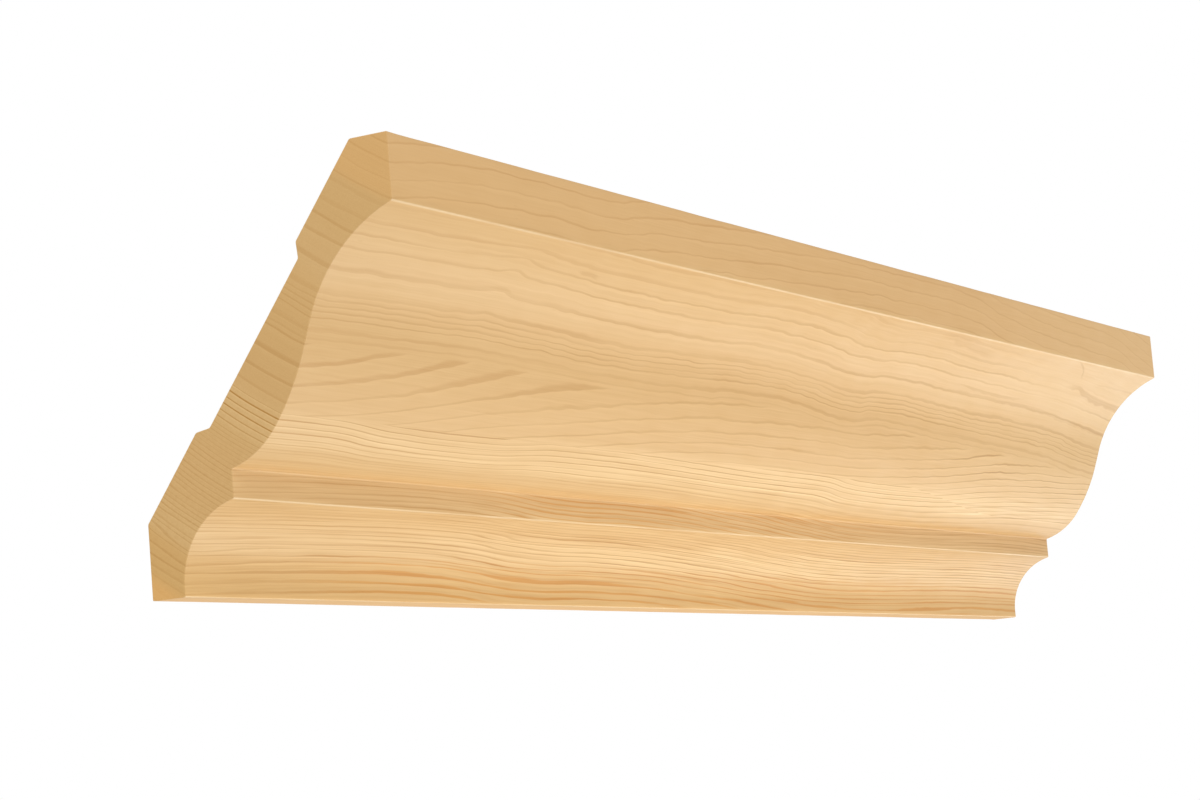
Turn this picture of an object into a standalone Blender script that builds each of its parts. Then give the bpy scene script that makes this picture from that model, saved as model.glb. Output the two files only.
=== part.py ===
"""A sprung crown moulding milled from one softwood board and cut square at both ends.

It stands here as it is fixed, along the corner between a wall and a ceiling. X runs along its
length, Y points into the wall and Z is up. The origin is at the middle of the narrow face that
bears on the wall. All sizes are in metres.

The section is drawn first as a list of points in the plane across the length, each point being
(distance out from the wall, height above the bottom face). It is then extruded along X.
"""

import math

import bmesh
import bpy
from mathutils import Vector

# The whole piece
LENGTH = 0.500
DROP = 0.0943
SPRING_ANGLE = math.radians(38.0)

# The two narrow faces that bear on the building
WALL_BEARING = 0.0171
CEILING_BEARING = 0.0098

# The plumb and level flats of the front
FASCIA_HEIGHT = 0.0151
FILLET_HEIGHT = 0.0066
FILLET_FOOT = 0.0202
FILLET_PROJECTION = 0.0237
BOTTOM_DEPTH = 0.0090

# The ogee between the fascia and the fillet: a hollow, a short straight, a swell and a tighter roll.
# Each slope is measured down from level, going from the fascia towards the wall.
HOLLOW_SLOPE = math.radians(18.6)
OGEE_STRAIGHT = 0.0058
SWELL_TO_HOLLOW = 1.58
ROLL_RADIUS = 0.0219
ROLL_TURN = math.radians(39.5)
ROLL_SLOPE = math.radians(13.0)

# The cove between the fillet and the bottom face ends in a plumb flat of this height
COVE_FLAT = 0.0024

# The shallow channel milled along the back. The land is the flat left below it, next to the wall.
RELIEF_LAND = 0.0238
RELIEF_WIDTH = 0.0486
RELIEF_DEPTH = 0.0026
RELIEF_SHOULDER = 0.0028

# Each flat strip of a curve turns by no more than this
FACET_TURN = math.radians(1.5)
SMOOTH_UNDER = math.radians(10.0)

# Planed pine
PINE_COLOUR = (0.70, 0.43, 0.19, 1.0)
PINE_ROUGHNESS = 0.55


def clear_scene():
    for item in list(bpy.data.objects):
        bpy.data.objects.remove(item, do_unlink=True)


def out_of_wood(slope):
    """The direction that leaves the wood square to a surface of this slope, down and away from the wall."""
    return Vector((math.sin(slope), -math.cos(slope)))


def curve_points(centre, radius, slopes, hollow):
    """Points round an arc on the moulding's front, from one slope to the other.

    The centre of a hollow lies outside the wood, and the centre of a swell lies inside it.
    """
    first, last = slopes
    side = -radius if hollow else radius
    steps = max(1, math.ceil(abs(last - first) / FACET_TURN))
    points = []
    for step in range(steps + 1):
        slope = first + (last - first) * step / steps
        points.append(centre + side * out_of_wood(slope))
    return points


def ogee_points(top, foot):
    """The curve from the fascia's lower arris to the fillet's upper arris.

    The roll has its own radius and stands on the foot. The hollow and the swell share out what is
    left: their radii keep one proportion, and a straight run of a set length joins them.
    """
    roll_start = ROLL_SLOPE + ROLL_TURN
    roll_centre = foot - ROLL_RADIUS * out_of_wood(ROLL_SLOPE)
    swell_foot = roll_centre + ROLL_RADIUS * out_of_wood(roll_start)

    # The two centres move apart as the radii grow. The straight run is tangent to both circles
    # where the square of that distance is the square of both radii together plus that of the run.
    span = swell_foot - top
    parting = -SWELL_TO_HOLLOW * out_of_wood(roll_start) - out_of_wood(HOLLOW_SLOPE)
    square = parting.length_squared - (1 + SWELL_TO_HOLLOW) ** 2
    linear = 2 * span.dot(parting)
    constant = span.length_squared - OGEE_STRAIGHT**2
    root = math.sqrt(linear**2 - 4 * square * constant)
    hollow_radius = (-linear - root) / (2 * square)
    swell_radius = SWELL_TO_HOLLOW * hollow_radius

    hollow_centre = top + hollow_radius * out_of_wood(HOLLOW_SLOPE)
    swell_centre = swell_foot - swell_radius * out_of_wood(roll_start)
    between = swell_centre - hollow_centre
    line_slope = math.atan2(-between.x, between.y)
    steepest = line_slope - math.atan2(OGEE_STRAIGHT, hollow_radius + swell_radius)

    hollow = curve_points(hollow_centre, hollow_radius, (HOLLOW_SLOPE, steepest), True)
    swell = curve_points(swell_centre, swell_radius, (steepest, roll_start), False)
    roll = curve_points(roll_centre, ROLL_RADIUS, (roll_start, ROLL_SLOPE), False)
    return hollow + swell + roll[1:]


def cove_points(arris):
    """The hollow from the fillet's lower arris down to where it turns plumb, over the bottom flat."""
    width = arris.x - BOTTOM_DEPTH
    height = arris.y - COVE_FLAT
    radius = (height**2 + width**2) / (2 * width)
    centre = Vector((BOTTOM_DEPTH + radius, COVE_FLAT))
    first_slope = math.atan2(centre.x - arris.x, arris.y - centre.y)
    return curve_points(centre, radius, (first_slope, math.pi / 2), True)


def section_points():
    """The outline of the moulding's section, from the bottom of the wall face round to its front foot."""
    back_run = (DROP - WALL_BEARING) * math.tan(SPRING_ANGLE)
    up_the_back = Vector((math.sin(SPRING_ANGLE), math.cos(SPRING_ANGLE)))
    into_the_back = Vector((math.cos(SPRING_ANGLE), -math.sin(SPRING_ANGLE)))
    wall_top = Vector((0.0, WALL_BEARING))

    def on_the_back(along, depth):
        return wall_top + along * up_the_back + depth * into_the_back

    relief_end = RELIEF_LAND + RELIEF_WIDTH
    relief = [
        on_the_back(RELIEF_LAND, 0.0),
        on_the_back(RELIEF_LAND + RELIEF_SHOULDER, RELIEF_DEPTH),
        on_the_back(relief_end - RELIEF_SHOULDER, RELIEF_DEPTH),
        on_the_back(relief_end, 0.0),
    ]
    projection = back_run + CEILING_BEARING
    fascia_foot = Vector((projection, DROP - FASCIA_HEIGHT))
    fillet_head = Vector((FILLET_PROJECTION, FILLET_FOOT + FILLET_HEIGHT))
    fillet_foot = Vector((FILLET_PROJECTION, FILLET_FOOT))

    outline = [Vector((0.0, 0.0)), wall_top]
    outline += relief
    outline += [Vector((back_run, DROP)), Vector((projection, DROP))]
    outline += ogee_points(fascia_foot, fillet_head)
    outline += cove_points(fillet_foot)
    outline.append(Vector((BOTTOM_DEPTH, 0.0)))
    return outline


def pine():
    material = bpy.data.materials.new("planed_pine")
    material.use_nodes = True
    shader = material.node_tree.nodes["Principled BSDF"]
    shader.inputs["Base Color"].default_value = PINE_COLOUR
    shader.inputs["Roughness"].default_value = PINE_ROUGHNESS
    shader.inputs["Metallic"].default_value = 0.0
    return material


def crown_moulding():
    """The section as one face at the left end, extruded along the whole length."""
    shape = bmesh.new()
    outline = []
    for point in section_points():
        place = (-LENGTH / 2, -point.x, point.y - WALL_BEARING / 2)
        outline.append(shape.verts.new(place))
    end_face = shape.faces.new(outline)
    extruded = bmesh.ops.extrude_face_region(shape, geom=[end_face], use_keep_orig=True)
    far_end = [item for item in extruded["geom"] if isinstance(item, bmesh.types.BMVert)]
    bmesh.ops.translate(shape, verts=far_end, vec=(LENGTH, 0.0, 0.0))
    bmesh.ops.recalc_face_normals(shape, faces=shape.faces)
    mesh = bpy.data.meshes.new("crown_moulding")
    shape.to_mesh(mesh)
    shape.free()
    mesh.shade_smooth()
    mesh.set_sharp_from_angle(angle=SMOOTH_UNDER)
    mesh.materials.append(pine())
    moulding = bpy.data.objects.new("crown_moulding", mesh)
    bpy.context.scene.collection.objects.link(moulding)
    return moulding


clear_scene()
crown_moulding()
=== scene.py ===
import math

import bmesh
import bpy
from mathutils import Matrix, Vector, noise


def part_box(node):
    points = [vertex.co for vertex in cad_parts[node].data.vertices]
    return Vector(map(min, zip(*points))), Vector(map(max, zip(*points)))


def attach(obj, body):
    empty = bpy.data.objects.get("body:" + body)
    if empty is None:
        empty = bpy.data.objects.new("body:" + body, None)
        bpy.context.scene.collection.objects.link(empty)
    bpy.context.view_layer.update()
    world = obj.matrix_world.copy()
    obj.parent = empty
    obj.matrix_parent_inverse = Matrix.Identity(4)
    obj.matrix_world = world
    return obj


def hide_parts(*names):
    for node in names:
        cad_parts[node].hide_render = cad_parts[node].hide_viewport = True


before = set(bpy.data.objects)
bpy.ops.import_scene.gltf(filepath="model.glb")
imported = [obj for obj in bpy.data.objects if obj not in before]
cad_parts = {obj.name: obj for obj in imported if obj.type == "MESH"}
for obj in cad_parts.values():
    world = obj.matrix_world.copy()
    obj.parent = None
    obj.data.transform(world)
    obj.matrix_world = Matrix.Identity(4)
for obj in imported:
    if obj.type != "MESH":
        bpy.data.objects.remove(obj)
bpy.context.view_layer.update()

# THE MILLED BOARD
# A sprung crown moulding, run through a moulder from one length of softwood and cut square at both
# ends. The knives leave true curves and crisp flats, and a pass of fine paper takes the bite off
# every arris. X runs along the board, Y goes to its back and Z is up, all in metres.

MERGE_WITHIN = 1e-6
FLAT_WITHIN = math.radians(0.2)
ARRIS_TURN = math.radians(20.0)
ARRIS_EASE = 0.00032
ARRIS_STEPS = 3
SAWN_EASE = 0.00014
STRIP_WIDTH = 0.0010
STATION_STEP = 0.0022
SHADE_SHARP = math.radians(32.0)
NEARLY_ALL = 0.99

low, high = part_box("crown_moulding")
board_length = high.x - low.x

board = bpy.data.objects.new("pine_moulding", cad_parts["crown_moulding"].data.copy())
bpy.context.scene.collection.objects.link(board)
bpy.ops.object.select_all(action="DESELECT")
board.select_set(True)
bpy.context.view_layer.objects.active = board


def select_edges(wanted):
    """Leaves selected, in edge mode, only the board's edges that pass the test."""
    bpy.ops.mesh.select_mode(type="EDGE")
    bpy.ops.mesh.select_all(action="DESELECT")
    shape = bmesh.from_edit_mesh(board.data)
    for edge in shape.edges:
        if wanted(edge):
            edge.select = True
    shape.select_flush_mode()
    bmesh.update_edit_mesh(board.data)


def runs_along(edge):
    start, end = (vertex.co for vertex in edge.verts)
    return abs(end.x - start.x) > NEARLY_ALL * (end - start).length


def is_arris(edge):
    return runs_along(edge) and edge.calc_face_angle(0.0) > ARRIS_TURN


def is_end_edge(edge):
    return abs(edge.verts[0].co.x + edge.verts[1].co.x) > board_length - MERGE_WITHIN


def strips_across(edge):
    return math.ceil(edge.calc_length() / STRIP_WIDTH)


# The outline is made whole again, each flat one face and each curve its own narrow strips
bpy.ops.object.mode_set(mode="EDIT")
bpy.ops.mesh.select_all(action="SELECT")
bpy.ops.mesh.remove_doubles(threshold=MERGE_WITHIN)
bpy.ops.mesh.customdata_custom_splitnormals_clear()
bpy.ops.mesh.dissolve_limited(angle_limit=FLAT_WITHIN)

# The places of the standing arrises are kept, so that their nicks and their painted highlight can follow
# them
shape = bmesh.from_edit_mesh(board.data)
arrises = set()
for edge in shape.edges:
    if is_arris(edge) and edge.is_convex:
        arrises.add((round(edge.verts[0].co.y, 6), round(edge.verts[0].co.z, 6)))

# The ends are opened while the rest is shaped, and every long arris is eased to a small round
bpy.ops.mesh.select_mode(type="FACE")
bpy.ops.mesh.select_all(action="DESELECT")
for face in shape.faces:
    face.select = abs(face.normal.x) > NEARLY_ALL
bpy.ops.mesh.delete(type="ONLY_FACE")
select_edges(is_arris)
bpy.ops.mesh.bevel(offset=ARRIS_EASE, segments=ARRIS_STEPS, profile=0.5, affect="EDGES", clamp_overlap=True)

# The flats are cut into strips, then everything into short stations along the length
shape = bmesh.from_edit_mesh(board.data)
strip_counts = {strips_across(edge) for edge in shape.edges if is_end_edge(edge)}
for count in sorted(strip_counts - {1}):
    select_edges(lambda edge: is_end_edge(edge) and strips_across(edge) == count)
    bpy.ops.mesh.subdivide(number_cuts=count - 1)
select_edges(runs_along)
bpy.ops.mesh.subdivide(number_cuts=math.ceil(board_length / STATION_STEP) - 1)

# The saw closes each end with one flat face and leaves it crisper than the arrises
for side in (-1, 1):
    select_edges(lambda edge: is_end_edge(edge) and side * edge.verts[0].co.x > 0)
    bpy.ops.mesh.edge_face_add()
select_edges(is_end_edge)
bpy.ops.mesh.bevel(offset=SAWN_EASE, segments=1, affect="EDGES", clamp_overlap=True)
bpy.ops.mesh.select_all(action="SELECT")
bpy.ops.mesh.normals_make_consistent(inside=False)
bpy.ops.object.mode_set(mode="OBJECT")

# Sanding by hand leaves the milled faces a hair short of true, more so along the arrises
SANDING_DEPTH = 0.00007
SANDING_ALONG = 0.055
SANDING_ACROSS = 0.007
ARRIS_REACH = 0.0011
ARRIS_NICK = 0.00010
NICK_ALONG = 0.014
NICKS_PER_METRE = 90
NICK_SHIFT = 7

# The arrises that face down towards the low lamps get a painted highlight, stored on each point and painted
# paler in the wood's colour
highlight_layer = board.data.attributes.new("arris_wear", "FLOAT", "POINT")
normals = [vertex.normal.copy() for vertex in board.data.vertices]
highlight_values = []
for vertex, normal in zip(board.data.vertices, normals):
    place = vertex.co.copy()
    from_arris = min(math.hypot(place.y - y, place.z - z) for y, z in arrises)
    near = max(0.0, 1.0 - from_arris / ARRIS_REACH)
    # Painted highlight: the more an arris faces down to the low lamps, the paler it is painted
    facing_down = min(1.0, max(0.0, 0.3 - 2.0 * normal.z))
    highlight_values.append(near * facing_down)
    if abs(place.x) > board_length / 2 - 2 * SAWN_EASE:
        continue
    slow = noise.noise(Vector((place.x / SANDING_ALONG, place.y / SANDING_ACROSS, place.z / SANDING_ACROSS)))
    nick_height = place.z * NICKS_PER_METRE + NICK_SHIFT
    nick = noise.noise(Vector((place.x / NICK_ALONG, place.y * NICKS_PER_METRE, nick_height)))
    depth = SANDING_DEPTH * (0.5 + 0.5 * slow) + ARRIS_NICK * near * max(0.0, nick)
    vertex.co = place - depth * normal
highlight_layer.data.foreach_set("value", highlight_values)

bpy.ops.object.shade_smooth_by_angle(angle=SHADE_SHARP)

# The wood is clear pine sawn near the quarter, planed, sanded and left bare. The years of growth run
# along the board as near-flat sheets that rise towards its back, each a band of pale early wood that
# darkens to a thin, hard, sharp-edged late line. Widths are in millimetres, as a rule reads them.
wood = bpy.data.materials.new("bare_pine")
wood.use_nodes = True
wood_shader = wood.node_tree.nodes["Principled BSDF"]


class Shade:
    """A value or colour that changes from place to place. Arithmetic on one adds Math nodes."""

    tree = wood.node_tree

    def __init__(self, socket):
        self.socket = socket

    @classmethod
    def node(cls, kind, settings, inputs, output=0):
        """Adds a node. Its settings are set first, then each input gets its value or its link."""
        added = cls.tree.nodes.new(kind)
        for name, value in settings.items():
            if name == "stops":
                ramp = added.color_ramp
                ramp.elements.remove(ramp.elements[1])
                ramp.elements[0].position = value[0][0]
                ramp.elements[0].color = value[0][1]
                for place, colour in value[1:]:
                    ramp.elements.new(place).color = colour
            elif name == "curve":
                curve = added.mapping.curves[0]
                curve.points[0].location = value[0]
                curve.points[1].location = value[-1]
                for point in value[1:-1]:
                    curve.points.new(*point)
                added.mapping.update()
            else:
                setattr(added, name, value)
        for name, value in inputs.items():
            if isinstance(value, Shade):
                cls.tree.links.new(value.socket, added.inputs[name])
            else:
                added.inputs[name].default_value = value
        return cls(added.outputs[output])

    @classmethod
    def maths(cls, operation, *terms):
        return cls.node("ShaderNodeMath", {"operation": operation}, dict(enumerate(terms)))

    def __add__(self, other):
        return Shade.maths("ADD", self, other)

    def __sub__(self, other):
        return Shade.maths("SUBTRACT", self, other)

    def __mul__(self, other):
        return Shade.maths("MULTIPLY", self, other)

    def __truediv__(self, other):
        return Shade.maths("DIVIDE", self, other)

    def __pow__(self, other):
        return Shade.maths("POWER", self, other)

    def __rsub__(self, other):
        return Shade.maths("SUBTRACT", other, self)

    __radd__ = __add__
    __rmul__ = __mul__


def step_up(value, start, end):
    """Nothing before the start, all after the end, and a soft rise between them."""
    settings = {"interpolation_type": "SMOOTHSTEP"}
    return Shade.node("ShaderNodeMapRange", settings, {"Value": value, "From Min": start, "From Max": end})


def within(value, start, full, fading, end):
    """Nothing outside a belt and all inside it, with a soft rise and a soft fall at its edges."""
    return step_up(value, start, full) * step_up(value, end, fading)


def share_of_way(value, start, end):
    """How far the value has come from start to end, held to nothing and to all."""
    sockets = {"Value": value, "From Min": start, "From Max": end}
    return Shade.node("ShaderNodeMapRange", {"clamp": True}, sockets)


# The growth sheets rise towards the back by this slope, and bend a little around the tree's heart
SHEET_SLOPE = math.radians(33.0)
SHEET_BEND = 230.0
BEND_FROM = -4.0
MM = 1000.0
BOARD_LONG = board_length * MM
SHEETS_HIGH = 120.0

in_object = Shade.node("ShaderNodeTexCoord", {}, {}, "Object")
back_foot = Vector((low.x, high.y, low.z)) * -MM
turn = Matrix.Rotation(-SHEET_SLOPE, 3, "X")
in_wood = Shade.node("ShaderNodeMapping", {}, {
    "Vector": in_object,
    "Location": turn @ back_foot,
    "Rotation": (-SHEET_SLOPE, 0.0, 0.0),
    "Scale": (MM, MM, MM),
})
along = Shade.node("ShaderNodeSeparateXYZ", {}, {"Vector": in_wood}, "X")
in_sheet = Shade.node("ShaderNodeSeparateXYZ", {}, {"Vector": in_wood}, "Y")
across = Shade.node("ShaderNodeSeparateXYZ", {}, {"Vector": in_wood}, "Z")


def cloud(sizes, detail=1.0, rough=0.5, shift=0.0, place=in_wood):
    """Smooth random cloud between nothing and one. The three sizes of its lumps are in millimetres."""
    stretched = Shade.node("ShaderNodeMapping", {}, {
        "Vector": place,
        "Location": (shift, shift, shift),
        "Scale": tuple(1 / size for size in sizes),
    })
    sockets = {"Vector": stretched, "Scale": 1.0, "Detail": detail, "Roughness": rough}
    return Shade.node("ShaderNodeTexNoise", {}, sockets)


def waver(sizes, detail=1.0, rough=0.5, shift=0.0, place=in_wood):
    """The same cloud, as a departure from nothing of up to a half either way."""
    return cloud(sizes, detail, rough, shift, place) - 0.5


def drawn(points, span, at, reach):
    """A value read off a curve through points, each a place and a value.

    Places run from nothing to the reach, and a value is at most the span either way.
    """
    curve = [(place / reach, 0.5 + value / (2 * span)) for place, value in points]
    level = Shade.node("ShaderNodeFloatCurve", {"curve": curve}, {"Value": at / reach})
    return (level - 0.5) * (2 * span)


def by_length(points, span):
    """A value drawn through points, each a distance from the left end and the value there."""
    return drawn(points, span, along, BOARD_LONG)


def by_height(points, span, at):
    """A value drawn through points, each a height in the sheets and the value there."""
    return drawn(points, span, at, SHEETS_HIGH)


def years_below(place, strips):
    """How many years lie above this place. Each strip is its top, its foot and its count of years."""
    years = 0.0
    for top, foot, count in strips:
        years = share_of_way(place, top, foot) * count + years
    return years


YEARS_APART = 5.37
LEAST_LUCK = 0.28
MOST_LUCK = 0.72


def luck(years, seed, length):
    """A chance of its own for each year, which changes slowly along the board over this length."""
    year = Shade.maths("FLOOR", years)
    place = Shade.node("ShaderNodeCombineXYZ", {}, {"X": along / length, "Y": year * YEARS_APART + seed})
    sockets = {"Vector": place, "Scale": 1.0, "Detail": 1.0}
    field = Shade.node("ShaderNodeTexNoise", {"noise_dimensions": "2D"}, sockets)
    return share_of_way(field, LEAST_LUCK, MOST_LUCK)


# The sheets bend, sway and fray. Below the swell they grew more evenly.
bend = (in_sheet - BEND_FROM) ** 2.0 / SHEET_BEND
slow_sway = waver((110.0, 60.0, 30.0))
quick_sway = waver((24.0, 18.0, 7.0), shift=11.0)
ragged = waver((6.0, 9.0, 4.0), 0.0, shift=17.0)
unrest = 0.3 + step_up(across, 50.0, 62.0)
height = across - bend + slow_sway * 0.9 + (quick_sway + ragged * 0.5) * unrest

# The pace of growth, from the top of the board to its foot: how far the years have climbed at each
# distance from the left end, and how wide those of the swell are there
fascia_climb = by_length(
    [(0, 0), (60, 3.7), (93, 3.3), (125, 5.9), (190, 9.0), (250, 11.1), (325, 11.1), (360, 7.2),
     (415, 3.9), (455, 3.0), (480, -1.0), (500, -4.5)], 12.0)
upper_climb = by_length(
    [(0, 0), (35, 0.8), (56, 1.3), (69, 1.5), (82, 1.2), (100, 0.8), (125, 0.3), (175, 0.5), (225, 1.7),
     (250, 0.9), (285, -1.2), (300, -0.2), (325, 0.0), (350, -1.0), (400, -1.8), (450, -3.2),
     (475, -5.2), (500, -6.8)], 8.0)
kink = by_length(
    [(0, 0), (50, 0), (60, 0.3), (66, 0.7), (70, 1.2), (74, 0.7), (80, 0.1), (88, 0), (500, 0)], 4.0)
flame_climb = by_length(
    [(0, -0.05), (36, 1.0), (62, 2.0), (90, 3.0), (135, 4.0), (190, 5.0), (250, 5.47), (300, 5.55),
     (345, 6.05), (375, 6.5), (412, 7.4), (460, 7.8), (500, 7.8)], 8.0)
flame_width = by_length([(0, 4.85), (125, 4.5), (200, 3.7), (290, 3.8), (375, 3.2), (500, 2.4)], 6.0)
roll_climb = by_length(
    [(0, 0), (20, 0), (45, -1.5), (85, -1.8), (125, 0), (160, 0), (250, -1.6), (280, -1.7),
     (310, -3.4), (345, -3.4), (400, -2.0), (450, -0.5), (500, -0.3)], 4.0)
foot_climb = by_length(
    [(0, 0), (67, 1.9), (100, 1.8), (152, -0.7), (185, -0.5), (250, -2.9), (295, -5.5), (335, -7.0),
     (400, -6.8), (460, -6.0), (500, -6.4)], 10.0)

# The fascia: wide years, thin late wood
FASCIA_FOOT = 104.3
FASCIA_YEAR = 3.55
FASCIA_COUNT = 100.35
FASCIA_SHARE = 0.15
is_fascia = Shade.maths("GREATER_THAN", height, FASCIA_FOOT)
fascia_years = FASCIA_COUNT - (height - fascia_climb) / FASCIA_YEAR
fascia_force = 0.94 - 0.36 * step_up(along, 60.0, 360.0)

# The hollow under it: three bold years, then a knot of thin ones
HOLLOW_FOOT = 67.9
kinked = within(height, 78.0, 85.0, 96.0, 104.0)
upper_height = height - upper_climb - kink * kinked
is_upper = Shade.maths("GREATER_THAN", upper_height, HOLLOW_FOOT) * (1.0 - is_fascia)
upper_years = years_below(upper_height, [
    (107.1, 102.2, 1), (102.2, 97.3, 1), (97.3, 90.2, 2), (90.2, 78.9, 2), (78.9, 73.3, 4),
    (73.3, 70.3, 1), (70.3, 68.6, 1), (68.6, 60.0, 2),
])
upper_share = 0.25 + 0.15 * step_up(upper_height, 79.5, 78.5)
upper_fade = 1.0 - 0.7 * step_up(along, 370.0, 430.0) * step_up(height, 84.0, 88.0)
upper_force = upper_fade * by_height(
    [(0, 0.5), (68, 0.5), (70, 0.55), (72.5, 1.0), (79, 0.9), (81, 0.9), (86, 0.9), (90, 0.95),
     (93.5, 0.95), (97, 0.65), (102, 0.45), (120, 0.5)], 1.5, upper_height)

# The roll, the fillet, the cove and the foot: close years, boldest on the roll and in the cove
ROLL_TOP = 51.5
ROLL_TOP_SINKS = 7.5
LOWER_COUNT = 50.0
is_lower = Shade.maths("LESS_THAN", height, ROLL_TOP - ROLL_TOP_SINKS * step_up(along, 335.0, 430.0))
towards_foot = share_of_way(height, 46.0, 33.0)
lower_height = height - roll_climb - (foot_climb - roll_climb) * towards_foot
uneven = waver((300.0, 30.0, 3.0), shift=23.0) * step_up(height, 30.0, 22.0)
lower_years = LOWER_COUNT + years_below(lower_height + uneven * 2.4, [
    (56.0, 42.0, 9), (42.0, 36.0, 7), (36.0, 29.6, 6), (29.6, 21.0, 8), (21.0, 13.0, 6),
    (13.0, -12.0, 12),
])
lower_share = 0.34 - 0.11 * step_up(height, 40.0, 44.0)
lower_force = by_height(
    [(0, 0.3), (4, 0.4), (5.5, 0.9), (7, 1.55), (12, 1.6), (14.5, 2.0), (20, 2.1), (23, 1.7),
     (28, 1.3), (31, 1.25), (35, 1.2), (37, 0.65), (42, 0.9), (44.5, 2.0), (50, 2.2), (120, 2.2)],
    2.5, height)

# The swell between them: the knife runs out through the sheets, and late lines end in dark tongues
TONGUES_TOP = 67.6
FLAME_COUNT = 30.0
is_flame = 1.0 - is_fascia - is_upper - is_lower
below_tongues = TONGUES_TOP - height
flame_years = FLAME_COUNT + flame_climb + below_tongues * (0.8 + below_tongues * 0.02) / flame_width
tongue = step_up(height, 56.0, 66.0) * step_up(along, 175.0, 130.0)
flame_share = 0.17 + 0.17 * tongue + 0.05 * step_up(along, 130.0, 200.0)
flame_force = 0.85 + tongue * (0.05 + 0.6 * step_up(along, 90.0, 40.0)) + 0.7 * step_up(along, 300.0, 430.0)
flame_force = flame_force * step_up(upper_height, 68.2, 67.2)

years = fascia_years * is_fascia + upper_years * is_upper + flame_years * is_flame + lower_years * is_lower
share = FASCIA_SHARE * is_fascia + upper_share * is_upper + flame_share * is_flame + lower_share * is_lower
force = fascia_force * is_fascia + upper_force * is_upper + flame_force * is_flame + lower_force * is_lower

# Late wood grows bolder towards the right end, save on the fascia and the foot. It is faint at the
# left of the cove.
on_cove = within(height, 11.0, 15.0, 23.0, 28.0)
on_fillet = within(height, 29.0, 31.0, 36.0, 38.0)
cove_gain = by_length([(0, -0.25), (100, -0.1), (250, 0.42), (420, 0.5), (500, 0.5)], 1.0)
fillet_gain = step_up(along, 300.0, 420.0) * 0.5
upper_gain = along * 0.0014 * step_up(height, 38.0, 44.0)
force = force * (0.95 + upper_gain + cove_gain * on_cove + fillet_gain * on_fillet)

# The dark part of each year comes on slowly over its share of the ring and stops short, and no two
# years are alike. The wood is at its palest straight after the stop.
turn_of_year = Shade.maths("FRACT", years)
chance = luck(years, 2.0, 70.0)
late_start = 1.0 - share * (0.65 + luck(years, 4.9, 45.0) * 0.7)
late_rise = step_up(turn_of_year, late_start, late_start * 0.4 + 0.6 - share * 0.1)
late_stop = step_up(turn_of_year, 1.0 - share * 0.12, 1.0)
spring_growth = step_up(turn_of_year, 0.35, 0.0)
lines = ((late_rise - late_stop) * (0.5 + chance * 0.8) - spring_growth * (0.14 + chance * 0.2)) * force

# A few late lines thicken, part or cut across the rest. Each has its force, its half thickness and
# its course, as distances from the left end and heights in the sheets.
LONE_LINES = [
    (1.0, 0.65, [(95, 96.6), (101, 96.5), (108, 95.9)]),
    (0.6, 1.4, [(306, 103.0), (330, 101.0), (368, 98.2)]),
    (1.3, 0.35, [(424, 103.7), (437, 101.0), (447, 97.0)]),
    (1.7, 1.2, [(436, 92.9), (450, 93.4), (462, 91.3), (500, 88.6)]),
    (0.9, 0.7, [(376, 83.4), (425, 82.9), (446, 81.4), (475, 79.5), (500, 78.2)]),
    (0.8, 0.4, [(458, 96.4), (480, 96.2), (500, 95.8)]),
    (0.9, 0.5, [(345, 87.0), (372, 85.6), (405, 85.4), (421, 86.0)]),
]
RIGHT_END = 500
FADE_SHARE = 0.3
for boldness, thickness, course in LONE_LINES:
    (start, first_height), (finish, last_height) = course[0], course[-1]
    level_before = [(0, first_height)] if start > 0 else []
    level_after = [(RIGHT_END, last_height)] if finish < RIGHT_END else []
    path = by_length(level_before + course + level_after, SHEETS_HIGH)
    width = thickness * (0.7 + 0.6 * step_up(along, start, (start + finish) / 2) + ragged * 1.2)
    body = 1.0 - step_up(Shade.maths("ABSOLUTE", height - path), width * 0.5, width)
    fade = (finish - start) * FADE_SHARE
    shown = step_up(along, start, start + fade)
    if level_after:
        shown = shown * step_up(along, finish, finish - fade)
    lines = lines + body * shown * boldness

# Strands of the wood run with the years: streaks a hair wide, and broader soft ones among them
years_drift = upper_climb * is_upper + (height - lower_height) * is_lower
in_strand = Shade.node("ShaderNodeCombineXYZ", {}, {"X": along, "Y": in_sheet, "Z": height - years_drift})
HAIR_SIZES = (38.0, 0.55, 0.38)
hair = waver(HAIR_SIZES, 1.0, 0.6, 5.0, in_strand)
strand = waver((120.0, 1.6, 0.85), 1.0, 0.6, 7.0, in_strand)
belt = waver((240.0, 9.0, 5.0), 1.0, 0.5, 9.0, in_strand)
mottle = waver((13.0, 11.0, 5.0), 1.0, 0.5, 13.0)
streak_force = by_height(
    [(0, 0.7), (5, 0.9), (14, 1.3), (20, 1.7), (25, 1.5), (35, 1.2), (41, 1.1), (45, 1.4), (51, 1.1),
     (54, 0.5), (80, 0.45), (103, 0.5), (106, 0.3), (120, 0.3)],
    2.0, height)
streak_force = streak_force * by_length([(0, 1.0), (130, 1.2), (250, 1.45), (350, 1.3), (500, 1.15)], 2.0)
streaks = (hair * 0.42 + strand * 0.66) * streak_force + belt * 0.14 + mottle * 0.16

# Pale threads, finer still, lie between the strands of the cove and the foot
pale_thread = step_up(Shade.maths("ABSOLUTE", strand - 0.02), 0.055, 0.01) * step_up(height, 40.0, 34.0)
streaks = streaks - pale_thread * (0.09 + chance * 0.06)

# Resin ducts show as sparse dark dashes, a few millimetres long and finer than a pencil line
ducts = step_up(cloud((3.2, 0.5, 0.22), 0.0, 0.5, 29.0), 0.80, 0.86)

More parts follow.
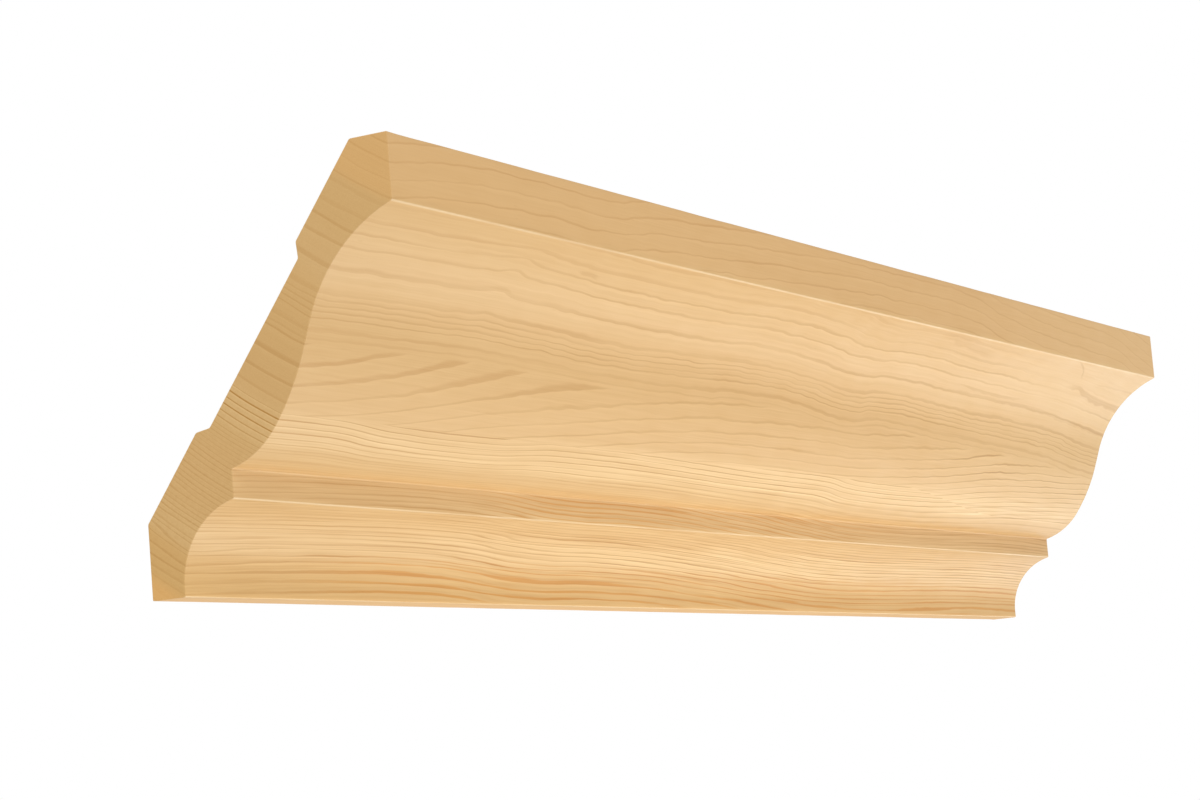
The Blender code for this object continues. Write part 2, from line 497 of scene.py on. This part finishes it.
# The ends are cut across the grain: the fibres stand open there, drink light and show every year
facing = Shade.node("ShaderNodeTexCoord", {}, {}, "Normal")
facing_end = Shade.maths("ABSOLUTE", Shade.node("ShaderNodeSeparateXYZ", {}, {"Vector": facing}, "X"))
on_end = step_up(facing_end, 0.6, 0.9)
on_side = 1.0 - on_end
open_fibre = waver((1.0, 0.35, 0.3), 0.0, 0.6, 31.0)
saw_marks = waver((1.0, 40.0, 0.45), 0.0, 0.5, 37.0)

# The tone shifts a little from belt to belt and along the board, partly as painted light: the cove and the
# roll are painted paler along most of the board, and the upper faces paler towards the right end, as a sheen
# from the low right lamp. Resin darkens the middle of the foot and softens the lines there and on the
# fillet. Close years stand out where the saw cut them.
MEAN_TINT = 0.24
# Partly painted light: the upper faces are painted paler towards the right end, as the low right lamp's
# sheen
upper_tone_and_sheen = by_length([(0, 0), (110, 0.02), (170, 0.06), (320, 0.04), (400, -0.12), (500, -0.28)], 0.5)
# The cove and the roll are painted paler, as part of the same sheen
pale_belts = within(height, 12.5, 14.0, 21.0, 23.0) + within(height, 42.5, 44.0, 51.0, 53.0)
amber_foot = within(height, 4.0, 6.0, 13.0, 17.0) * step_up(along, 30.0, 90.0)
amber_fillet = within(height, 29.0, 30.5, 34.5, 36.0) * within(along, 90.0, 140.0, 280.0, 400.0)
amber = (amber_foot + amber_fillet) * on_side
close_years = within(height, 37.0, 41.0, 49.0, 53.0)
tint = (
    MEAN_TINT
    + upper_tone_and_sheen * step_up(height, 51.0, 54.0)
    - pale_belts * step_up(along, 100.0, 180.0) * 0.12
    + amber_foot * within(along, 130.0, 190.0, 310.0, 380.0) * 0.08
    + lines * (0.36 - amber * 0.10 + on_end * (close_years * 0.18 - 0.04))
    + streaks * (1.0 - on_end * 0.6)
    + ducts * on_side * 0.16
    + open_fibre * on_end * 0.22
)

WOOD_MIX = {"data_type": "RGBA", "clamp_factor": False}
STAIN_MIX = {"data_type": "RGBA", "blend_type": "MULTIPLY"}
MIX_FACTOR = 0
MIX_FIRST = 6
MIX_SECOND = 7
MIX_COLOUR = 2


def blend(settings, amount, first, second):
    """The first colour, moved by this amount towards the second or towards a stain of it."""
    sockets = {MIX_FACTOR: amount, MIX_FIRST: first, MIX_SECOND: second}
    return Shade.node("ShaderNodeMix", settings, sockets, MIX_COLOUR)


PALE_WOOD = (0.851, 0.550, 0.242, 1.0)
LATE_WOOD = (0.644, 0.353, 0.112, 1.0)
colour = blend(WOOD_MIX, tint, PALE_WOOD, LATE_WOOD)

# The colour is scaled band by band up the profile, partly as the wood's own tone and partly as painted
# light: it is warmest along the foot, and the cove and the roll, which face down to the low lamps, are
# painted paler and whiter, as a sheen. Each stop is a height in the sheets and the share of red, green and
# blue that the colour is scaled by there.
BAND_TONES_AND_SHEEN = [
    (3, (1.0, 0.92, 0.755)), (6, (0.88, 0.86, 0.75)), (12.5, (0.875, 0.85, 0.75)),
    (15, (0.905, 0.925, 0.925)), (20, (0.905, 0.925, 0.925)), (24, (0.893, 0.893, 0.87)),
    (37, (0.885, 0.88, 0.855)), (42, (0.89, 0.90, 0.88)), (44, (0.92, 0.95, 0.975)),
    (50, (0.92, 0.95, 0.975)), (54, (0.87, 0.865, 0.835)), (70, (0.87, 0.865, 0.825)),
    (80, (0.89, 0.895, 0.88)), (84, (0.893, 0.91, 0.925)), (89, (0.89, 0.905, 0.915)),
    (94, (0.868, 0.875, 0.85)), (103, (0.868, 0.872, 0.845)), (105.5, (0.92, 0.885, 0.82)),
]
# Part painted sheen, part the wood's own tone
stops = [(place / SHEETS_HIGH, (*shares, 1.0)) for place, shares in BAND_TONES_AND_SHEEN]
bands_and_sheen = Shade.node("ShaderNodeValToRGB", {"stops": stops}, {"Fac": height / SHEETS_HIGH}, "Color")
colour = blend(STAIN_MIX, 1.0, colour, bands_and_sheen)

# Resin has turned some streaks of the foot and the fillet amber
AMBER = (1.0, 0.83, 0.54, 1.0)
resin = step_up(strand * 0.5 + hair * 0.5 + lines * 0.32, 0.07, 0.22) * amber
colour = blend(STAIN_MIX, resin, colour, AMBER)

# A sawn end is a shade yellower than a planed face
END_TONE = (1.0, 0.975, 0.90, 1.0)
colour = blend(STAIN_MIX, on_end, colour, END_TONE)

# A painted highlight lies along the arrises that face down to the low lamps: they are painted paler,
# patchily, and made a little smoother
HIGHLIGHT_PAINT = (0.90, 0.69, 0.40, 1.0)
painted_glint = Shade.node("ShaderNodeAttribute", {"attribute_name": "arris_wear"}, {}, "Fac")
patchy = share_of_way(cloud((30.0, 20.0, 20.0), 1.0, 0.6, 41.0), 0.30, 0.55)
painted_highlight = step_up(painted_glint, 0.30, 0.85) * (0.45 + patchy * 0.55) * on_side
colour = blend(WOOD_MIX, painted_highlight * 0.5, colour, HIGHLIGHT_PAINT)
Shade.tree.links.new(colour.socket, wood_shader.inputs["Base Color"])

# The satin of planed wood comes and goes with the strands, and sawn ends have none
roughness = 0.47 + hair * 0.10 + mottle * 0.08 - painted_highlight * 0.06 + on_end * 0.22
Shade.tree.links.new(roughness.socket, wood_shader.inputs["Roughness"])

# The planed face keeps a trace of its strands, and a sawn end keeps its open fibres and saw marks
planed_strand = waver(HAIR_SIZES, 0.0, shift=5.0)
relief = planed_strand * 0.022 * on_side + (open_fibre * 0.02 + saw_marks * 0.03) * on_end
bump = Shade.node("ShaderNodeBump", {}, {"Strength": 1.0, "Distance": 1.0 / MM, "Height": relief}, "Normal")
Shade.tree.links.new(bump.socket, wood_shader.inputs["Normal"])

board.data.materials.clear()
board.data.materials.append(wood)
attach(board, "root")
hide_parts("crown_moulding")

# THE STUDIO
# The moulding is held at its own height and slope, far above a plain pale floor. Soft light comes
# from all round, with the brighter lamps low in front, so the curves that face down glow.

CAMERA_PLACE = (-0.80165, -0.41530, -0.05821)
CAMERA_YAW = math.radians(61.566)
CAMERA_PITCH = math.radians(7.196)
CAMERA_ROLL = math.radians(4.760)
CAMERA_LENS = 92.51

lens = bpy.data.cameras.new("camera")
lens.lens = CAMERA_LENS
lens.sensor_width = 36.0
lens.clip_start = 0.01
camera = bpy.data.objects.new("camera", lens)
aim = Matrix.Rotation(-CAMERA_YAW, 4, "Z") @ Matrix.Rotation(math.pi / 2 + CAMERA_PITCH, 4, "X")
camera.matrix_world = Matrix.Translation(CAMERA_PLACE) @ aim @ Matrix.Rotation(-CAMERA_ROLL, 4, "Z")
bpy.context.scene.collection.objects.link(camera)
bpy.context.scene.camera = camera

bpy.context.scene.view_settings.view_transform = "Standard"

# The studio gives an even light from all round, and shows as plain white past the piece
STUDIO_LIGHT = 0.714
world = bpy.data.worlds.new("studio")
world.use_nodes = True
Shade.tree = world.node_tree
seen = Shade.node("ShaderNodeLightPath", {}, {}, "Is Camera Ray")
strength = seen * (1.0 - STUDIO_LIGHT) + STUDIO_LIGHT
world.node_tree.nodes["Background"].inputs["Color"].default_value = (1.0, 1.0, 1.0, 1.0)
Shade.tree.links.new(strength.socket, world.node_tree.nodes["Background"].inputs["Strength"])
bpy.context.scene.world = world


def lamp(name, place, target, wide, tall, watts):
    """A soft box that faces its target and doesn't show in the picture."""
    light = bpy.data.lights.new(name, "AREA")
    light.shape = "RECTANGLE"
    light.size = wide
    light.size_y = tall
    light.energy = watts
    box = bpy.data.objects.new(name, light)
    aimed = (Vector(target) - Vector(place)).to_track_quat("-Z", "Y")
    box.matrix_world = Matrix.Translation(place) @ aimed.to_matrix().to_4x4()
    box.visible_camera = False
    bpy.context.scene.collection.objects.link(box)


lamp("lamp_below", (0.0, -0.261, -0.305), (0.0, -0.141, 0.077), 0.6, 0.366, 1.42)
lamp("lamp_low_right", (1.04, -0.103, -0.233), (0.107, -0.038, 0.121), 0.5, 0.271, 0.847)
lamp("lamp_high_left", (-0.9, -0.3, 0.9), (0.0, -0.03, 0.04), 0.8, 0.8, 3.8)

# The floor lies well below the piece and fades into the white of the studio
FLOOR_DROP = 2.1
FLOOR_REACH = 9.7
FADE_FROM = 3.2
FADE_TO = 9.506
FLOOR_PAINT = (0.85, 0.85, 0.85, 1.0)
FLOOR_ROUGHNESS = 0.9
bpy.ops.object.select_all(action="DESELECT")
underneath = (0.0, 0.0, -FLOOR_DROP)
bpy.ops.mesh.primitive_circle_add(vertices=96, radius=FLOOR_REACH, fill_type="NGON", location=underneath)
floor = bpy.context.active_object
floor.name = "floor"
bpy.ops.object.transform_apply(location=True, rotation=True, scale=True)
paint = bpy.data.materials.new("pale_floor")
paint.use_nodes = True
floor_shader = paint.node_tree.nodes["Principled BSDF"]
floor_shader.inputs["Base Color"].default_value = FLOOR_PAINT
floor_shader.inputs["Roughness"].default_value = FLOOR_ROUGHNESS
Shade.tree = paint.node_tree
floor_place = Shade.node("ShaderNodeTexCoord", {}, {}, "Object")
from_middle = Shade.node("ShaderNodeVectorMath", {"operation": "LENGTH"}, {0: floor_place}, "Value")
fade = step_up(from_middle, FADE_TO, FADE_FROM)
Shade.tree.links.new(fade.socket, floor_shader.inputs["Alpha"])
floor.data.materials.append(paint)
